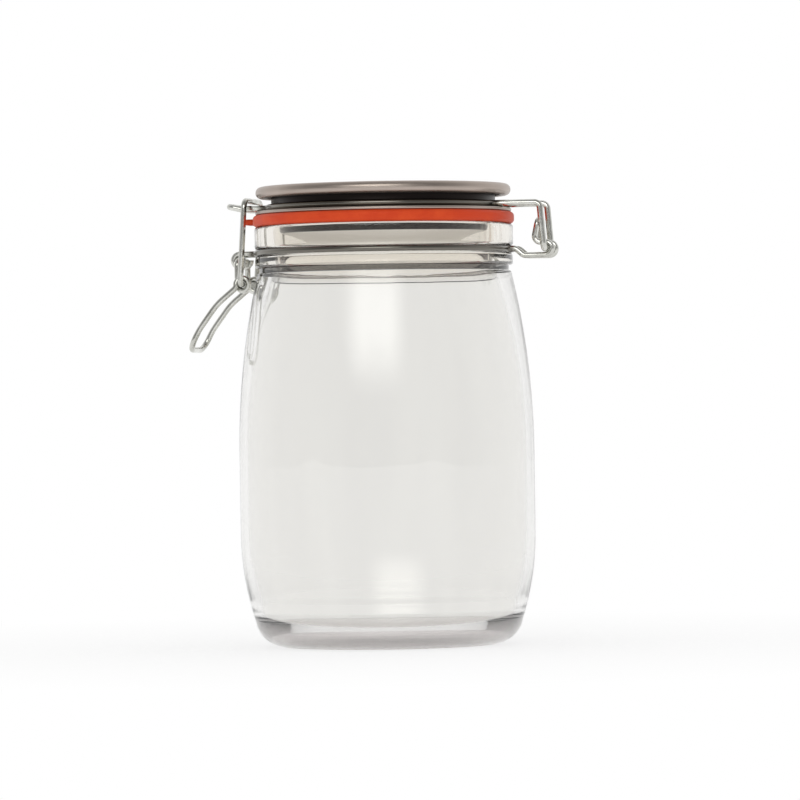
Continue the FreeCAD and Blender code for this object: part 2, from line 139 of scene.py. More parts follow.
class WireSizes(PropertyGroup):
    lid_wire: length("Lid wire", "Wire of the lid, across", 0.0024)
    thin_wire: length("Thin wire", "Wire of collar, lever and bail, across", 0.0022)
    bend: length("Bend", "Centre-line radius of the small bends", 0.0022)
    clearance: length("Clearance", "Between a wire pin and its curl", 0.0001)
    lid_ring: length("Lid ring", "Centre-line radius of the lid wire's ring", 0.0433)
    neck_ring: length("Neck ring", "Centre-line radius of the neck wire's ring", 0.0479)
    hinge_leg: length("Hinge leg", "Half width of the hinge loop", 0.0070)
    hinge_lean: length("Hinge lean", "Slope of the hinge loop", 0.0014)
    hinge_gap: length("Hinge gap", "Between the butted ends", 0.0004)
    hook_leg: length("Hook leg", "Half width of the neck wire's hook", 0.0036)
    hook_length: length("Hook length", "Hook over the hinge bar", 0.0046)
    hook_dip: length("Hook dip", "Where the hook leaves the collar's level", 0.0512)
    hook_dip_run: length("Hook slope", "Slope of the hook under the hinge bar", 0.0030)
    tongue_lean: length("Tongue lean", "Upright tongue, outwards", 0.0018)
    tongue_height: length("Tongue height", "Upright tongue above the hook", 0.0084)
    nose_leg: length("Nose leg", "Half width of the nose", 0.0070)
    nose_upturn: length("Nose upturn", "Length of the nose that turns up", 0.0048)
    nose_rise: length("Nose rise", "Tip of the nose above the lid wire", 0.0010)
    curl_leg: length("Curl leg", "Half width of the collar's curls", 0.0040)
    curl_turn: angle("Curl", "Turn of each curl", 275)
    arm_leg: length("Arm leg", "Half width of the lever's arms", 0.0076)
    handle_leg: length("Handle leg", "Half width of the handle", 0.0099)
    handle_start: length("Handle start", "First bend of the handle below the pins", 0.0012)
    knee_out: length("Knee out", "First soft bend of the handle, out from the arm", 0.0076)
    knee_drop: length("Knee drop", "First soft bend of the handle, below the pins", 0.0074)
    bow_out: length("Bow out", "Second soft bend of the handle, out from the arm", 0.0146)
    bow_drop: length("Bow drop", "Second soft bend of the handle, below the pins", 0.0168)
    handle_bend: length("Handle bend", "Centre-line radius of the soft bends", 0.0220)
    handle_corner: length("Handle corner", "Centre-line radius at the tip", 0.0050)
    bail_leg: length("Bail leg", "Half width of the bail", 0.0125)
    bail_corner: length("Bail corner", "Centre-line radius of the upper bends", 0.0030)
    bail_foot: length("Bail foot", "Centre-line radius between leg and pin", 0.0016)
    bail_reach: length("Bail reach", "Cross-bar from the jar's axis", 0.0506)
    pin_end: length("Pin end", "Inner end of the bail pins", 0.0059)


class Finishes(PropertyGroup):
    glass: colour("Glass", "Light that one wall of glass lets through", (0.895, 0.89, 0.873))
    # Painted shade: darker upright streaks stand in for an uneven background seen through the glass.
    painted_background_streaks: colour("Streaks", "Upright streaks in the glass", (0.875, 0.87, 0.855))
    glass_neck: colour("Neck glass", "Light that the thick neck lets through", (0.86, 0.83, 0.775))
    glass_base: colour("Base glass", "Stippled underside of the base", (0.82, 0.765, 0.75))
    # Painted shade: the groove under the bead is coloured nearly black, as shade in the crease.
    groove_painted_shade: colour("Groove", "Dull groove under the bead", (0.045, 0.042, 0.038))
    steel_pale: colour("Pale steel", "Lid sheet where the brushing is bright", (0.52, 0.45, 0.40))
    steel_dark: colour("Dark steel", "Lid sheet between the brush marks", (0.33, 0.275, 0.24))
    # Painted light: the lid's underside is made nearly white so that the neck seen through the glass looks
    # lit; the brush marks vary it.
    painted_light_underside: colour("Pale inside", "Lid's underside where the brushing is bright", (0.97, 0.955, 0.93))
    painted_light_underside_dark: colour("Dark inside", "Lid's underside between the brush marks", (0.80, 0.77, 0.73))
    # Painted shade: nearly black walls in the recess and round the plug, where shade falls.
    shaded_recess: colour("Dark steel walls", "Lid sheet in the recess and round the plug", (0.022, 0.018, 0.017))
    seal: colour("Seal", "Rubber of the seal", (0.56, 0.041, 0.003))
    seal_worn: colour("Worn seal", "Paler bloom on the rubber", (0.65, 0.066, 0.008))
    wire: colour("Wire", "Bright drawn wire", (0.72, 0.72, 0.68))
    # Painted shade: the wire's ring under the lid's disc and in the neck groove is darkened.
    wire_painted_shade: colour("Tarnished wire", "Wire round the lid and the neck", (0.17, 0.16, 0.14))
    wire_dull: colour("Dull wire", "Dull patches on the wire", (0.50, 0.50, 0.46))


class StageSettings(PropertyGroup):
    distance: length("Distance", "Camera from the jar's axis", 2.0)
    height: length("Height", "Camera above the floor", 0.0970)
    azimuth: angle("Azimuth", "Camera round the jar, from -Y towards +X", 13)
    roll: angle("Roll", "Camera turned clockwise", 0.9)
    scale: length("Scale", "Size of one pixel at the jar's axis", 0.000375)
    axis_column: IntProperty(name="Axis column", description="Pixel column of the axis", default=386)
    horizon_row: IntProperty(name="Horizon row", description="Pixel row of the horizon", default=386)
    window_turn: angle("Window turn", "Window to the left of the camera", 6)
    window_rise: angle("Window rise", "Window above the camera", 19)
    lamp_distance: length("Lamp distance", "Lamp from the middle of the jar", 1.5)
    lamp_width: length("Lamp width", "Lamp, across", 0.80)
    lamp_height: length("Lamp height", "Lamp, up and down", 0.31)
    lamp_power: FloatProperty(name="Lamp power", description="Power of the lamp in watts", default=2.6)


PICTURE_SIDE = 800
SENSOR_WIDTH = 36.0
WINDOW_LIGHT = (3.4, 3.4, 3.3)
FULL_ROUND = 0.96    # share of half a sheet's thickness that its round edge takes
SHARP = math.radians(35)    # edges with a greater turn than this stay sharp
MERGE = 1e-6    # points nearer than this become one

# Features of the finishes in one metre
STREAKS = 60.0
STIPPLE = 900.0
SPUN_RINGS = 3600.0
CLOUDS = 55.0
PATCHES = 160.0
DRAW_MARKS = 500.0
BLOOM = 90.0
GRAIN = 2200.0


def rounded_run(points, bends, step=math.radians(9)):
    """Points of straight runs through the corners, with an arc of the given radius at each corner."""
    run = [points[0]]
    for before, corner, after, radius in zip(points, points[1:], points[2:], bends):
        into = (corner - before).normalized()
        away = (after - corner).normalized()
        turn = into.angle(away)
        inward = (away - into).normalized()
        centre = corner + inward * (radius / math.cos(turn / 2))
        start = corner - into * (radius * math.tan(turn / 2)) - centre
        ahead = into * radius
        count = max(2, math.ceil(turn / step))
        for index in range(count + 1):
            angle = turn * index / count
            run.append(centre + start * math.cos(angle) + ahead * math.sin(angle))
    run.append(points[-1])
    return run


def arc_between(start, end, centre, count):
    """Points of the shorter arc about a centre, without its first point."""
    first = start - centre
    last = end - centre
    turn = first.angle(last)
    across = (last - first.normalized() * last.dot(first.normalized())).normalized() * first.length
    return [
        centre + first * math.cos(turn * index / count) + across * math.sin(turn * index / count)
        for index in range(1, count + 1)
    ]


def level_arc(start, end, level, count):
    """Points of an arc in the XZ plane whose centre is at the given height."""
    drop = end.z - start.z
    middle = (start + end) * 0.5
    centre_x = middle.x - (level - middle.z) * drop / (end.x - start.x)
    return arc_between(start, end, Vector((centre_x, 0, level)), count)


def heel_arc(start, end, centre_x, count):
    """Points of an arc in the XZ plane whose centre is at the given radius."""
    middle = (start + end) * 0.5
    centre_z = middle.z - (centre_x - middle.x) * (end.x - start.x) / (end.z - start.z)
    return arc_between(start, end, Vector((centre_x, 0, centre_z)), count)


def start_piece(name):
    """A new mesh object with a single vertex at the origin, in edit mode."""
    bpy.ops.object.select_all(action="DESELECT")
    bpy.ops.mesh.primitive_plane_add(size=0.001)
    piece = bpy.context.object
    piece.name = name
    bpy.ops.object.mode_set(mode="EDIT")
    bpy.ops.mesh.select_all(action="SELECT")
    bpy.ops.mesh.merge(type="CENTER")
    return piece


def line_piece(name, points):
    """A new mesh object with edges through the points, all selected, in edit mode."""
    piece = start_piece(name)
    bpy.ops.transform.translate(value=points[0])
    for before, point in zip(points, points[1:]):
        bpy.ops.mesh.extrude_region_move(TRANSFORM_OT_translate={"value": point - before})
    bpy.ops.mesh.select_all(action="SELECT")
    return piece


def turned_piece(name, profile, segments):
    """Spin a profile in the XZ plane about Z. A profile that ends where it starts is closed."""
    piece = line_piece(name, profile)
    bpy.ops.mesh.remove_doubles(threshold=MERGE)
    bpy.ops.mesh.spin(steps=segments, angle=math.tau, center=(0, 0, 0), axis=UP)
    bpy.ops.mesh.select_all(action="SELECT")
    bpy.ops.mesh.remove_doubles(threshold=MERGE)
    bpy.ops.mesh.normals_make_consistent(inside=False)
    bpy.ops.object.mode_set(mode="OBJECT")
    bpy.ops.object.shade_smooth_by_angle(angle=SHARP)
    return piece


def wire_piece(name, half_run, diameter):
    """A round wire along a run that starts on y = 0, joined to its mirror image."""
    mirrored = [Vector((point.x, -point.y, point.z)) for point in reversed(half_run)]
    run = mirrored[:-1] + half_run
    closed = abs(half_run[-1].y) < diameter / 100
    if closed:
        run.pop()
    bpy.ops.object.select_all(action="DESELECT")
    bpy.ops.curve.primitive_nurbs_path_add()
    piece = bpy.context.object
    piece.name = name
    curve = piece.data
    curve.splines.clear()
    line = curve.splines.new("POLY")
    line.points.add(len(run) - 1)
    for spot, point in zip(line.points, run):
        spot.co = (*point, 1.0)
    line.use_smooth = True
    line.use_cyclic_u = closed
    curve.dimensions = "3D"
    curve.twist_mode = "MINIMUM"
    curve.bevel_depth = diameter / 2
    curve.bevel_resolution = 8
    curve.use_fill_caps = not closed
    bpy.ops.object.convert(target="MESH")
    piece = bpy.context.object
    bpy.ops.object.mode_set(mode="EDIT")
    bpy.ops.mesh.select_all(action="SELECT")
    bpy.ops.mesh.remove_doubles(threshold=1e-7)
    bpy.ops.mesh.normals_make_consistent(inside=False)
    bpy.ops.object.mode_set(mode="OBJECT")
    bpy.ops.object.shade_smooth_by_angle(angle=math.radians(40))
    return piece


def ring_side(ring, level, front_leg, rear_leg, bend):
    """Run from a front leg (-X) round the +Y side of a ring to a rear leg (+X)."""
    run = []
    share = ring / (ring + bend)
    for leg, side in ((front_leg, -1), (rear_leg, 1)):
        centre_y = leg + bend
        centre_x = side * math.sqrt((ring + bend) ** 2 - centre_y ** 2)
        centre = Vector((centre_x, centre_y, level))
        leg_end = Vector((centre_x, leg, level))
        on_ring = Vector((centre_x * share, centre_y * share, level))
        corner = [leg_end] + arc_between(leg_end, on_ring, centre, 8)
        run.append(corner if side < 0 else corner[::-1])
    front, rear = run
    axis = Vector((0, 0, level))
    crown = Vector((0, ring, level))
    return front + arc_between(front[-1], crown, axis, 40) + arc_between(crown, rear[0], axis, 40) + rear[1:]


class Wired:
    """A shader value: arithmetic on it adds Math nodes to its material."""

    def __init__(self, finish, socket):
        self.finish = finish
        self.socket = socket

    def combined(self, operation, first, second):
        return self.finish.add("ShaderNodeMath", {"operation": operation}, {0: first, 1: second})

    def __add__(self, other):
        return self.combined("ADD", self, other)

    def __radd__(self, other):
        return self.combined("ADD", other, self)

    def __sub__(self, other):
        return self.combined("SUBTRACT", self, other)

    def __mul__(self, other):
        return self.combined("MULTIPLY", self, other)

    def __rmul__(self, other):
        return self.combined("MULTIPLY", other, self)

    def __abs__(self):
        return self.finish.add("ShaderNodeMath", {"operation": "ABSOLUTE"}, {0: self})


class Finish:
    """The node tree of a material or a world, with one method that adds any node."""

    def __init__(self, owner):
        owner.use_nodes = True
        self.owner = owner
        self.tree = owner.node_tree
        self.tree.nodes.clear()

    def add(self, kind, options=None, inputs=None, output=0):
        node = self.tree.nodes.new(kind)
        for name, value in (options or {}).items():
            setattr(node, name, value)
        for key, value in (inputs or {}).items():
            socket = node.inputs[key]
            if isinstance(value, Wired):
                self.tree.links.new(value.socket, socket)
            else:
                socket.default_value = value
        return Wired(self, node.outputs[output]) if node.outputs else None

    def mix(self, factor, first, second):
        return self.add("ShaderNodeMix", {"data_type": "RGBA"}, {0: factor, 6: first, 7: second}, 2)

    def place(self):
        return self.add("ShaderNodeTexCoord", output="Object")

    def noise(self, vector, scale, detail=3.0, roughness=0.5):
        inputs = {"Vector": vector, "Scale": scale, "Detail": detail, "Roughness": roughness}
        return self.add("ShaderNodeTexNoise", {}, inputs)

    def spread(self, value, low, high):
        """The value stretched so that low becomes 0 and high becomes 1."""
        return self.add("ShaderNodeMapRange", {}, {"Value": value, "From Min": low, "From Max": high})

    def within(self, value, near, far):
        """1 where the value is within near of zero, falling smoothly to 0 at far."""
        inputs = {"Value": abs(value), "From Min": near, "From Max": far, "To Min": 1.0, "To Max": 0.0}
        return self.add("ShaderNodeMapRange", {"interpolation_type": "SMOOTHSTEP"}, inputs)

    def height(self, vector):
        return self.add("ShaderNodeSeparateXYZ", {}, {"Vector": vector}, "Z")

    def along(self, vector, axis):
        return self.add("ShaderNodeVectorMath", {"operation": "DOT_PRODUCT"}, {0: vector, 1: axis}, "Value")

    def stretched(self, vector, upwards):
        """The vector with its height multiplied."""
        factors = (1.0, 1.0, upwards)
        return self.add("ShaderNodeVectorMath", {"operation": "MULTIPLY"}, {0: vector, 1: factors})

    def radius(self, vector):
        """Distance from the jar's axis."""
        flat = self.stretched(vector, 0.0)
        return self.add("ShaderNodeVectorMath", {"operation": "LENGTH"}, {0: flat}, "Value")

    def bump(self, height, strength, distance):
        return self.add("ShaderNodeBump", {}, {"Height": height, "Strength": strength, "Distance": distance})

    def surface(self, inputs):
        shader = self.add("ShaderNodeBsdfPrincipled", {}, inputs)
        self.add("ShaderNodeOutputMaterial", {}, {"Surface": shader})
        return self.owner


def opaque(shade):
    return (*shade, 1.0)


def glass_finish(tints, sizes):
    """Clear glass: darker upright streaks painted for an uneven background, a warmer neck, painted shade in
    the groove under the bead, darkest in front, a stippled base.
    """
    finish = Finish(bpy.data.materials.new("clear_glass"))
    place = finish.place()
    level = finish.height(place)
    streaks = finish.noise(finish.stretched(place, 0.12), STREAKS, 2.0)
    stipple = finish.noise(place, STIPPLE, 2.0)
    # Painted shade: the streak noise darkens the glass as an uneven background seen through it would.
    shade = finish.mix(finish.spread(streaks, 0.40, 0.70), opaque(tints.glass), opaque(tints.painted_background_streaks))
    shoulder = sizes.shoulder_height
    in_neck = finish.spread(level, shoulder - 0.002, shoulder + 0.003)
    shade = finish.mix(in_neck, shade, opaque(tints.glass_neck))
    # Painted shade in the groove under the bead, much darker on the side facing the camera than at the back.
    half_groove = sizes.root_height / 2
    in_groove = finish.within(level - (shoulder + half_groove), half_groove, half_groove * 1.2)
    outside = finish.spread(finish.radius(place), sizes.mouth_radius + 0.004, sizes.mouth_radius + 0.005)
    front = finish.spread(finish.along(place, FRONT), -0.015, 0.015)
    groove_shade = in_groove * outside * (0.15 + 0.85 * front)
    shade = finish.mix(groove_shade, shade, opaque(tints.groove_painted_shade))
    under = finish.within(level, 0.0002, 0.0004)
    shade = finish.mix(under, shade, opaque(tints.glass_base))
    return finish.surface({
        "Base Color": shade,
        "Roughness": under * (0.45 + 0.4 * stipple),
        "IOR": 1.5,
        "Transmission Weight": 1.0,
        "Normal": finish.bump(streaks, 0.05, 0.002),
    })


def steel_finish(tints, name, flange=None, wall_radius=None):
    """Spun and brushed steel: fine rings about the axis; with a flange, painted shade darkens the walls
    above and below it and painted light makes the underside pale.
    """
    finish = Finish(bpy.data.materials.new(name))
    place = finish.place()
    level = finish.height(place)
    radius = finish.radius(place)
    turned = finish.add("ShaderNodeCombineXYZ", {}, {"X": radius, "Z": level})
    rings = finish.noise(turned, SPUN_RINGS, 2.0)
    clouds = finish.noise(place, CLOUDS, 4.0)
    brushing = finish.spread(rings * 0.5 + clouds * 0.5, 0.30, 0.70)
    shade = finish.mix(brushing, opaque(tints.steel_dark), opaque(tints.steel_pale))
    if flange is not None:
        bottom, top = flange
        half = (top - bottom) / 2
        on_flange = finish.within(level - (bottom + half), half, half + 0.0002)
        # Painted shade on the walls above and below the flange, in the recess and round the plug.
        wall = finish.spread(radius, wall_radius - 0.0010, wall_radius - 0.0004)
        # Painted light: the steel below the flange is pale, for the lit look of the neck.
        inside = finish.mix(brushing, opaque(tints.painted_light_underside_dark), opaque(tints.painted_light_underside))
        shade = finish.mix(finish.spread(level, bottom - 0.0004, bottom), inside, shade)
        shade = finish.mix(wall - wall * on_flange, shade, opaque(tints.shaded_recess))
    return finish.surface({
        "Base Color": shade,
        "Metallic": 1.0,
        "Roughness": 0.27 + 0.12 * clouds + 0.06 * rings,
        "Normal": finish.bump(rings, 0.05, 0.0002),
    })


def wire_finish(tints, shade_radius=None):
    """Bright drawn wire with duller patches and faint draw marks, and painted shade inside a given radius.
    """
    finish = Finish(bpy.data.materials.new("bright_wire"))
    place = finish.place()
    patches = finish.noise(place, PATCHES, 3.0)
    marks = finish.noise(place, DRAW_MARKS, 2.0)
    shade = finish.mix(finish.spread(patches, 0.4, 0.66), opaque(tints.wire), opaque(tints.wire_dull))
    # Painted shade on the part of the wire inside the given radius.
    if shade_radius is not None:
        bright = finish.spread(finish.radius(place), shade_radius, shade_radius + 0.002)
        shade = finish.mix(bright, opaque(tints.wire_painted_shade), shade)
    return finish.surface({
        "Base Color": shade,
        "Metallic": 1.0,
        "Roughness": 0.12 + 0.16 * patches,
        "Normal": finish.bump(marks, 0.01, 0.0001),
    })


def seal_finish(tints):
    """Moulded orange rubber with a fine bloom."""
    finish = Finish(bpy.data.materials.new("orange_rubber"))
    place = finish.place()
    bloom = finish.noise(place, BLOOM, 5.0, 0.6)
    grain = finish.noise(place, GRAIN, 2.0)
    shade = finish.mix(finish.spread(bloom, 0.42, 0.72), opaque(tints.seal), opaque(tints.seal_worn))
    return finish.surface({
        "Base Color": shade,
        "Roughness": 0.40 + 0.2 * bloom,
        "Specular IOR Level": 0.28,
        "Normal": finish.bump(grain, 0.12, 0.0001),
    })


def dress(piece, material, body, slot, *nodes):
    """Give a piece its material and its body and hide the nodes that it stands for; the slot is not used."""
    piece.data.materials.clear()
    piece.data.materials.append(material)
    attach(piece, body)
    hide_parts(*nodes)


def upright(*corners):
    """Points in the XZ plane from pairs of radius and height."""
    return [Vector((radius, 0, height)) for radius, height in corners]


class JAR_OT_glass_body(Operator):
    """Spin the glass body from its wall profile"""
    bl_idname = "jar.glass_body"
    bl_label = "Glass body"

    def execute(self, context):
        s = context.scene.jar_glass
        rim_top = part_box("jar_body")[1][2]
        root_radius = s.shoulder_radius - s.root_depth
        root_top = s.shoulder_height + s.root_height
        bead_top = root_top + s.bead_height
        rim_bottom = bead_top + s.groove_height
        belly_inside = s.belly_radius - s.wall
        heel_inside = s.heel_radius - s.heel_wall
        floor_radius = heel_inside - s.floor_curve
        axis_low, base, heel, belly_low, belly_high, shoulder = upright(
            (0, 0), (s.base_radius, 0), (s.heel_radius, s.heel_height), (s.belly_radius, s.belly_bottom),
            (s.belly_radius, s.belly_top), (s.shoulder_radius, s.shoulder_height),
        )
        outside = [axis_low, base] + heel_arc(base, heel, s.base_radius, 12)
        outside += level_arc(heel, belly_low, s.belly_bottom, 12)
        outside += [belly_high] + level_arc(belly_high, shoulder, s.belly_top, 24)
        mouth_low = Vector((s.mouth_radius, 0, s.shoulder_height + s.throat_rise))
        neck = outside[-2:] + upright(
            (root_radius, s.shoulder_height), (root_radius, root_top), (s.bead_radius, root_top),
            (s.bead_radius, bead_top), (s.groove_radius, bead_top), (s.groove_radius, rim_bottom),
            (s.rim_radius, rim_bottom), (s.rim_radius, rim_top), (s.mouth_radius, rim_top),
        ) + [mouth_low]
        small = s.fire_polish
        bends = [small, small, small, s.bead_edge, s.bead_edge, small, small, s.edge, s.edge, s.edge]
        belly_up, belly_down, wall_foot, floor_edge, axis_high = upright(
            (belly_inside, s.belly_top), (belly_inside, s.belly_bottom),
            (heel_inside, s.floor + s.floor_curve), (floor_radius, s.floor), (0, s.floor),
        )
        inside = level_arc(mouth_low, belly_up, s.belly_top, 24) + [belly_down]
        inside += level_arc(belly_down, wall_foot, s.belly_bottom, 12)
        inside += heel_arc(wall_foot, floor_edge, floor_radius, 12) + [axis_high]
        profile = outside[:-2] + rounded_run(neck, bends) + inside
        piece = turned_piece("glass_body", profile, s.segments)
        dress(piece, glass_finish(context.scene.jar_finishes, s), "jar", "glass", "jar_body")
        return {"FINISHED"}


class JAR_OT_seal(Operator):
    """Spin the rubber seal and join its pull tab"""
    bl_idname = "jar.seal"
    bl_label = "Seal"

    def execute(self, context):
        s = context.scene.jar_lid
        lowest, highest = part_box("seal_ring")
        bottom = lowest[2]
        top = highest[2]
        outer = highest[0]
        small = s.seal_edge / 3
        corners = upright(
            (s.seal_inside, (bottom + top) / 2), (s.seal_inside, bottom), (outer, bottom), (outer, top),
            (s.seal_inside, top), (s.seal_inside, (bottom + top) / 2),
        )
        ring = rounded_run(corners, [small, s.seal_edge, s.seal_edge, small])
        segments = context.scene.jar_glass.segments
        piece = turned_piece("rubber_seal", ring, segments)
        half = s.tab_width / 2
        root = s.tab_corner - outer
        tip = lowest[0]
        level = (bottom + top - s.tab_thickness) / 2
        outline = rounded_run([
            Vector((root, half, level)), Vector((tip, half, level)), Vector((tip, -half, level)),
            Vector((root, -half, level)),
        ], [s.tab_corner, s.tab_corner])
        tab = line_piece("seal_tab", outline)
        bpy.ops.mesh.edge_face_add()
        bpy.ops.mesh.extrude_region_move(TRANSFORM_OT_translate={"value": UP * s.tab_thickness})
        bpy.ops.mesh.select_all(action="SELECT")
        bpy.ops.mesh.normals_make_consistent(inside=False)
        bpy.ops.object.mode_set(mode="OBJECT")
        rounding = tab.modifiers.new("edge", "BEVEL")
        rounding.width = s.seal_edge / 2
        rounding.segments = 3
        rounding.limit_method = "ANGLE"
        bpy.ops.object.modifier_apply(modifier=rounding.name)
        bpy.ops.object.shade_smooth_by_angle(angle=SHARP)
        piece.select_set(True)
        context.view_layer.objects.active = piece
        bpy.ops.object.join()
        dress(piece, seal_finish(context.scene.jar_finishes), "lid", "seal_rubber", "seal_ring")
        return {"FINISHED"}


class JAR_OT_lid(Operator):
    """Spin the two steel halves of the lid: the top disc and the pan under it"""
    bl_idname = "jar.lid"
    bl_label = "Lid"

    def execute(self, context):
        s = context.scene.jar_lid
        tints = context.scene.jar_finishes
        segments = context.scene.jar_glass.segments
        lowest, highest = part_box("lid_cap")
        bottom = lowest[2]
        top = highest[2]
        radius = highest[0]
        roll = (top - bottom) / 2 * FULL_ROUND
        roll_inside = radius - s.roll_width
        underside = top - s.sheet
        disc = rounded_run(upright(
            (0, underside), (roll_inside, underside), (roll_inside, bottom), (radius, bottom),
            (radius, top), (0, top),
        ), [s.sheet / 4, s.sheet / 2, roll, roll])
        cap = turned_piece("lid_disc", disc, segments)
        dress(cap, steel_finish(tints, "brushed_disc"), "lid", "lid_steel", "lid_cap")
        plug_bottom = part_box("lid_pan")[0][2]
        flange_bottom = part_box("seal_ring")[1][2]
        flange_top = flange_bottom + s.flange_thickness
        inner_plug = s.plug_radius - s.sheet
        inner_recess = s.recess_radius - s.sheet
        inner_floor = flange_bottom + s.sheet
        hem = s.flange_thickness / 2 * FULL_ROUND
        drawn = s.sheet / 4
        shell = rounded_run(upright(
            (0, plug_bottom), (s.plug_radius, plug_bottom), (s.plug_radius, flange_bottom),
            (s.flange_radius, flange_bottom), (s.flange_radius, flange_top), (s.recess_radius, flange_top),
            (s.recess_radius, underside), (inner_recess, underside), (inner_recess, inner_floor),
            (inner_plug, inner_floor), (inner_plug, plug_bottom + s.sheet), (0, plug_bottom + s.sheet),
        ), [s.plug_edge, drawn, hem, hem, drawn, drawn, drawn, drawn, drawn, s.plug_edge - s.sheet])
        pan = turned_piece("lid_pan_sheet", shell, segments)
        sheet = steel_finish(tints, "brushed_pan", (flange_bottom, flange_top), s.plug_radius)
        dress(pan, sheet, "lid", "lid_steel", "lid_pan")
        return {"FINISHED"}


class JAR_OT_lid_wire(Operator):
    """Bend the lid's wire: nose, ring and hinge loop"""
    bl_idname = "jar.lid_wire"
    bl_label = "Lid wire"

    def execute(self, context):
        s = context.scene.jar_wires
        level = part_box("lid_wire")[1][2] - s.lid_wire / 2 - s.nose_rise
        tip_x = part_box("lid_wire")[0][0] + s.lid_wire / 2
        side = ring_side(s.lid_ring, level, s.nose_leg, s.hinge_leg, s.bend)
        tip_level = level + s.nose_rise
        nose = rounded_run([
            Vector((tip_x, 0, tip_level)), Vector((tip_x, s.nose_leg, tip_level)),
            Vector((tip_x + s.nose_upturn, s.nose_leg, level)), side[0],
        ], [s.bend, s.bend])
        loop = rounded_run([
            side[-1], Vector((HINGE.x - s.hinge_lean, s.hinge_leg, level)),
            Vector((HINGE.x, s.hinge_leg, HINGE.z)), Vector((HINGE.x, s.hinge_gap / 2, HINGE.z)),
        ], [s.bend, s.bend])
        piece = wire_piece("lid_wire_loop", nose[:-1] + side + loop[1:], s.lid_wire)
        # Painted shade on the ring under the lid's disc.
        shaded_within = s.lid_ring + s.lid_wire
        dress(piece, wire_finish(context.scene.jar_finishes, shaded_within), "lid", "wire", "lid_wire")
        return {"FINISHED"}


class JAR_OT_neck_wire(Operator):
    """Bend the neck collar: hinge hooks, ring and pivot curls"""
    bl_idname = "jar.neck_wire"
    bl_label = "Neck wire"

    def execute(self, context):
        s = context.scene.jar_wires
        curl = s.thin_wire + s.clearance
        level = PIVOT.z + curl
        side = ring_side(s.neck_ring, level, s.curl_leg, s.hook_leg, s.bend)[::-1]
        bar = Vector((HINGE.x, s.hook_leg, HINGE.z))
        wrap = (s.lid_wire + s.thin_wire) / 2 + s.clearance
        heel = bar + Vector((-s.hook_length, 0, wrap))
        tongue = heel + Vector((s.tongue_lean, 0, s.tongue_height))
        over = bar + UP * wrap
        under = bar - UP * wrap
        hook = rounded_run([Vector((tongue.x, 0, tongue.z)), tongue, heel, over], [s.bend, s.bend])
        outermost = bar + Vector((wrap, 0, 0))
        hook += arc_between(over, outermost, bar, 8) + arc_between(outermost, under, bar, 8)
        slope = rounded_run([
            under, Vector((s.hook_dip + s.hook_dip_run, s.hook_leg, under.z)),
            Vector((s.hook_dip, s.hook_leg, level)), side[0],
        ], [s.bend, s.bend])
        pivot = Vector((PIVOT.x, s.curl_leg, PIVOT.z))
        turns = [s.curl_turn * index / 30 for index in range(31)]
        curls = [pivot + Vector((-math.sin(turn), 0, math.cos(turn))) * curl for turn in turns]
        piece = wire_piece("neck_collar", hook + slope[1:-1] + side + curls, s.thin_wire)
        # Painted shade on the ring in the neck groove.
        shaded_within = s.neck_ring + s.thin_wire
        dress(piece, wire_finish(context.scene.jar_finishes, shaded_within), "jar", "wire", "neck_wire")
        return {"FINISHED"}


class JAR_OT_lever(Operator):
    """Bend the latch lever: pivot bar, arms, coils and handle"""
    bl_idname = "jar.lever"
    bl_label = "Lever"

    def execute(self, context):
        s = context.scene.jar_wires
        arm_end = Vector((PIVOT.x, s.arm_leg, PIN.z))
        arm = rounded_run([
            Vector((PIVOT.x, 0, PIVOT.z)), Vector((PIVOT.x, s.arm_leg, PIVOT.z)), arm_end,
        ], [s.bend])
        coil = PIN.x - PIVOT.x
        turns = [math.tau * index / 36 for index in range(1, 36)]
        coils = [
            Vector((
                PIN.x - coil * math.cos(turn),
                s.arm_leg + (s.handle_leg - s.arm_leg) * turn / math.tau,
                PIN.z - coil * math.sin(turn),
            ))
            for turn in turns
        ]
        top = Vector((PIVOT.x, s.handle_leg, PIN.z))
        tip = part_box("lever")[0]
        tip_x = tip[0] + s.thin_wire / 2
        tip_z = tip[2] + s.thin_wire / 2
        handle = rounded_run([
            top, top - UP * s.handle_start, top + Vector((-s.knee_out, 0, -s.knee_drop)),
            top + Vector((-s.bow_out, 0, -s.bow_drop)), Vector((tip_x, s.handle_leg, tip_z)),
            Vector((tip_x, 0, tip_z)),
        ], [s.bend, s.handle_bend, s.handle_bend, s.handle_corner], math.radians(5))
        piece = wire_piece("latch_lever", arm + coils + handle, s.thin_wire)
        dress(piece, wire_finish(context.scene.jar_finishes), "lever", "wire", "lever")
        return {"FINISHED"}


class JAR_OT_bail(Operator):
    """Bend the bail that hooks over the lid wire's nose"""
    bl_idname = "jar.bail"
    bl_label = "Bail"

    def execute(self, context):
        s = context.scene.jar_wires
        bar_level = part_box("bail")[1][2] - s.thin_wire / 2
        loop = rounded_run([
            Vector((-s.bail_reach, 0, bar_level)), Vector((-s.bail_reach, s.bail_leg, bar_level)),
            Vector((PIN.x, s.bail_leg, PIN.z)), Vector((PIN.x, s.pin_end, PIN.z)),
        ], [s.bail_corner, s.bail_foot])
        piece = wire_piece("bail_loop", loop, s.thin_wire)
        dress(piece, wire_finish(context.scene.jar_finishes), "bail", "wire", "bail")
        return {"FINISHED"}


def grey(value):
    return (value, value, value, 1.0)


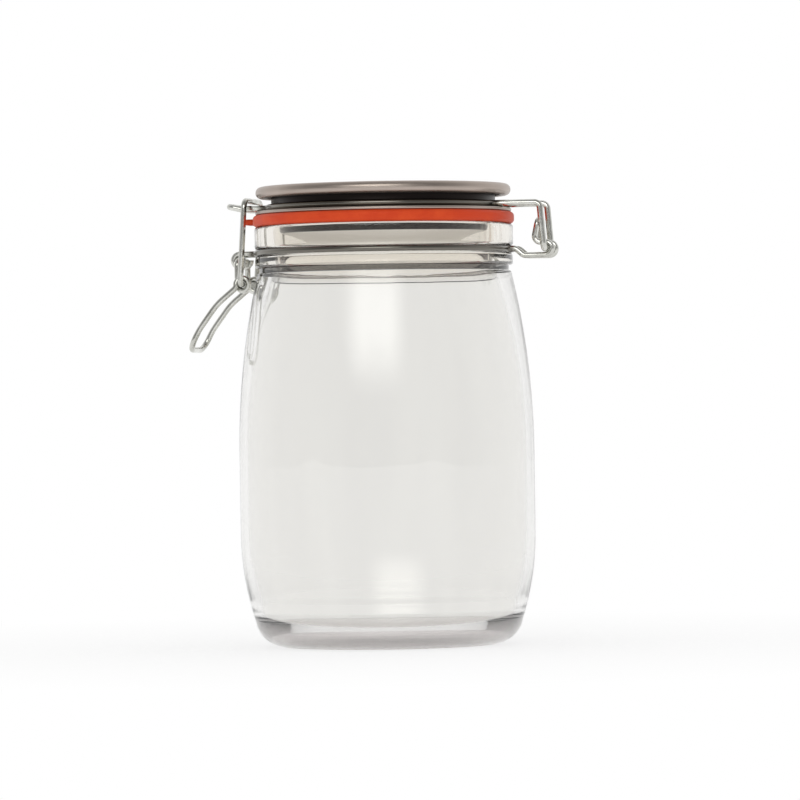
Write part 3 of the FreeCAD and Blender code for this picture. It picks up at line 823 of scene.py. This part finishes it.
def build_world(towards):
    """White behind and through the glass, grey in front with a soft window for the reflections."""
    world = bpy.data.worlds.new("studio")
    bpy.context.scene.world = world
    sky = Finish(world)
    in_view = sky.add("ShaderNodeLightPath", output="Is Camera Ray")
    through = sky.add("ShaderNodeLightPath", output="Is Transmission Ray")
    mirrored = sky.add("ShaderNodeLightPath", output="Is Glossy Ray")
    direction = sky.add("ShaderNodeTexCoord", output="Generated")
    behind = sky.spread(sky.along(direction, -towards), -0.55, 0.35)
    reflected = sky.mix(behind, grey(0.30), grey(0.95))
    beside = sky.within(sky.along(direction, towards.cross(UP).normalized()) - 0.04, 0.16, 0.50)
    above = sky.within(sky.height(direction) - towards.z - 0.10, 0.10, 0.26)
    in_front = sky.spread(sky.along(direction, towards), 0.0, 0.2)
    ambient = sky.mix(mirrored, grey(0.85), reflected)
    seen = sky.add("ShaderNodeClamp", {}, {"Value": in_view + through})
    light = sky.mix(seen, ambient, grey(1.0))
    light = sky.mix(beside * above * in_front * mirrored, light, opaque(WINDOW_LIGHT))
    shader = sky.add("ShaderNodeBackground", {}, {"Color": light, "Strength": 1.0})
    sky.add("ShaderNodeOutputWorld", {}, {"Surface": shader})


def build_floor():
    """White table whose far part is as white as the background; the jar's shadow stays near it."""
    bpy.ops.object.select_all(action="DESELECT")
    bpy.ops.mesh.primitive_plane_add(size=12.0, location=(0, 0, -0.0003))
    floor = bpy.context.object
    floor.name = "floor"
    bpy.ops.object.transform_apply(location=True, rotation=True, scale=True)
    finish = Finish(bpy.data.materials.new("white_table"))
    glowing = 0.75 + 0.25 * finish.spread(finish.radius(finish.place()), 0.08, 0.30)
    table = finish.add("ShaderNodeBsdfDiffuse", {}, {"Color": grey(0.96)})
    glow = finish.add("ShaderNodeEmission", {}, {"Color": grey(1.0), "Strength": 1.0})
    mixed = finish.add("ShaderNodeMixShader", {}, {0: glowing, 1: table, 2: glow})
    finish.add("ShaderNodeOutputMaterial", {}, {"Surface": mixed})
    floor.data.materials.append(finish.owner)


def bearing(azimuth, elevation):
    """Direction from the jar, where azimuth 0 is -Y and turns towards +X."""
    flat = math.cos(elevation)
    return Vector((math.sin(azimuth) * flat, -math.cos(azimuth) * flat, math.sin(elevation)))


def build_lamp(s, towards):
    """A rectangular lamp that faces the middle of the jar; its reflection is the world's soft window."""
    aim = UP * (CAD_BOX[1][2] / 2)
    bpy.ops.object.light_add(type="AREA", location=aim + towards * s.lamp_distance)
    lamp = bpy.context.object
    lamp.name = "front_window"
    lamp.rotation_euler = towards.to_track_quat("Z", "Y").to_euler()
    lamp.data.shape = "RECTANGLE"
    lamp.data.size = s.lamp_width
    lamp.data.size_y = s.lamp_height
    lamp.data.energy = s.lamp_power
    lamp.visible_glossy = False
    lamp.visible_transmission = False


def build_camera(s):
    """Level camera, slightly rolled, with the jar's axis at its pixel in the picture."""
    ahead = Vector((-math.sin(s.azimuth), math.cos(s.azimuth), 0))
    level_right = ahead.cross(UP)
    right = level_right * math.cos(s.roll) - UP * math.sin(s.roll)
    above = UP * math.cos(s.roll) + level_right * math.sin(s.roll)
    middle = PICTURE_SIDE / 2
    aim = UP * s.height
    aim += right * ((middle - s.axis_column) * s.scale)
    aim -= above * ((middle - s.horizon_row) * s.scale)
    turn = Matrix((right, above, -ahead)).transposed()
    bpy.ops.object.camera_add(location=aim - ahead * s.distance, rotation=turn.to_euler())
    camera = bpy.context.object
    camera.data.sensor_width = SENSOR_WIDTH
    camera.data.lens = SENSOR_WIDTH * s.distance / (s.scale * PICTURE_SIDE)
    bpy.context.scene.camera = camera


class JAR_OT_stage(Operator):
    """Set up the world, the table, the lamp and the camera"""
    bl_idname = "jar.stage"
    bl_label = "Stage"

    def execute(self, context):
        s = context.scene.jar_stage
        context.scene.view_settings.view_transform = "Standard"
        window = bearing(s.azimuth - s.window_turn, s.window_rise)
        build_world(window)
        build_floor()
        build_lamp(s, window)
        build_camera(s)
        return {"FINISHED"}


MAKERS = (
    JAR_OT_glass_body,
    JAR_OT_seal,
    JAR_OT_lid,
    JAR_OT_lid_wire,
    JAR_OT_neck_wire,
    JAR_OT_lever,
    JAR_OT_bail,
    JAR_OT_stage,
)
GROUPS = {
    "jar_glass": GlassSizes,
    "jar_lid": LidSizes,
    "jar_wires": WireSizes,
    "jar_finishes": Finishes,
    "jar_stage": StageSettings,
}


class JAR_PT_panel(Panel):
    bl_label = "Clip-top Jar"
    bl_idname = "JAR_PT_panel"
    bl_space_type = "VIEW_3D"
    bl_region_type = "UI"
    bl_category = "Jar"

    def draw(self, context):
        for maker in MAKERS:
            self.layout.operator(maker.bl_idname)
        for name, group in GROUPS.items():
            box = self.layout.box()
            for entry in group.__annotations__:
                box.prop(getattr(context.scene, name), entry)


def register():
    for group in GROUPS.values():
        bpy.utils.register_class(group)
    for maker in MAKERS:
        bpy.utils.register_class(maker)
    bpy.utils.register_class(JAR_PT_panel)
    for name, group in GROUPS.items():
        setattr(bpy.types.Scene, name, PointerProperty(type=group))


def unregister():
    for name in GROUPS:
        delattr(bpy.types.Scene, name)
    bpy.utils.unregister_class(JAR_PT_panel)
    for maker in reversed(MAKERS):
        bpy.utils.unregister_class(maker)
    for group in reversed(GROUPS.values()):
        bpy.utils.unregister_class(group)


def main():
    register()
    bpy.ops.jar.glass_body()
    bpy.ops.jar.seal()
    bpy.ops.jar.lid()
    bpy.ops.jar.lid_wire()
    bpy.ops.jar.neck_wire()
    bpy.ops.jar.lever()
    bpy.ops.jar.bail()
    bpy.ops.jar.stage()


if __name__ == "__main__":
    main()
